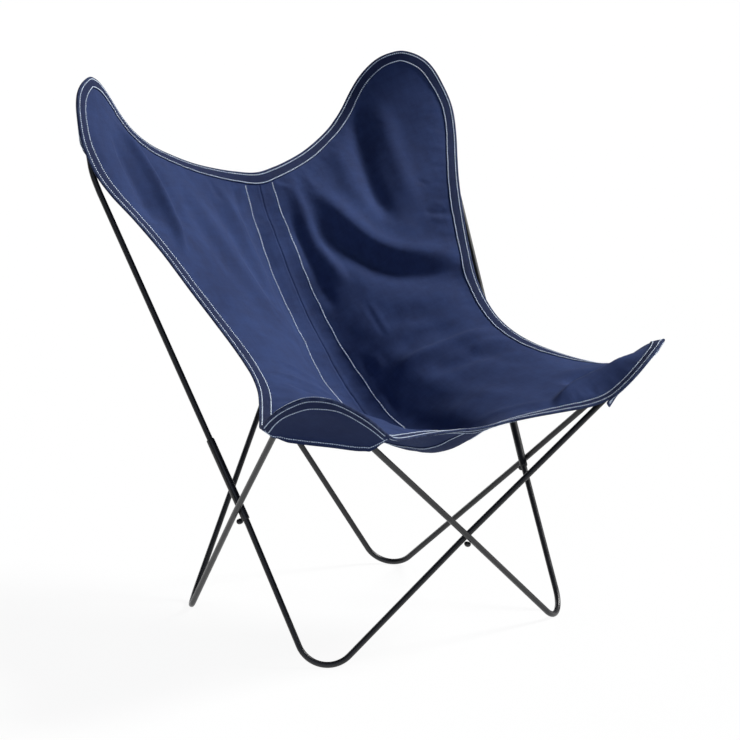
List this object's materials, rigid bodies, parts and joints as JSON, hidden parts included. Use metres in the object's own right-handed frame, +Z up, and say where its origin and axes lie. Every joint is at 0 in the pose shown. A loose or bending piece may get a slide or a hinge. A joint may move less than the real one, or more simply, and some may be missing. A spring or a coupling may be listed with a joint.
{
  "type": "butterfly sling chair",
  "caption": "Low lounge chair: a canvas sling with rounded pockets at its tips hangs on a frame of crossing bent steel rods with plug-in loops that carry the back.",
  "frame": {"origin": "centre of the bounding box in X and Y, on the floor the feet stand on", "axes": "+Z up, the front of the seat faces -Y, +X is to the right of somebody who faces the chair"},
  "size_m": [0.7956, 0.7506, 0.9184],
  "materials": {
    "frame": "satin black powder coat",
    "canvas": "matte plain-weave cotton canvas, navy",
    "binding": "folded canvas border, dark navy",
    "thread": "white sewing thread"
  },
  "bodies": {
    "root": {"base_rod_left": "frame", "base_rod_right": "frame", "ear_loop_left": "frame", "ear_loop_right": "frame", "side_socket_left": "frame", "rear_socket_left": "frame", "side_socket_right": "frame", "rear_socket_right": "frame", "front_crossing_weld": "frame", "rear_crossing_weld": "frame", "left_crossing_weld": "frame", "right_crossing_weld": "frame", "sling_panel_left": "canvas", "sling_panel_right": "canvas", "centre_seam_band": "canvas", "edge_binding_left": "binding", "edge_binding_right": "binding", "ear_pocket_left": "canvas", "knee_pocket_left": "canvas", "ear_pocket_stitch_left": "thread", "knee_pocket_stitch_left": "thread", "ear_pocket_right": "canvas", "knee_pocket_right": "canvas", "ear_pocket_stitch_right": "thread", "knee_pocket_stitch_right": "thread", "binding_outer_stitch_left": "thread", "binding_inner_stitch_left": "thread", "centre_stitch_left": "thread", "binding_outer_stitch_right": "thread", "binding_inner_stitch_right": "thread", "centre_stitch_right": "thread"}
  },
  "joints": []
}
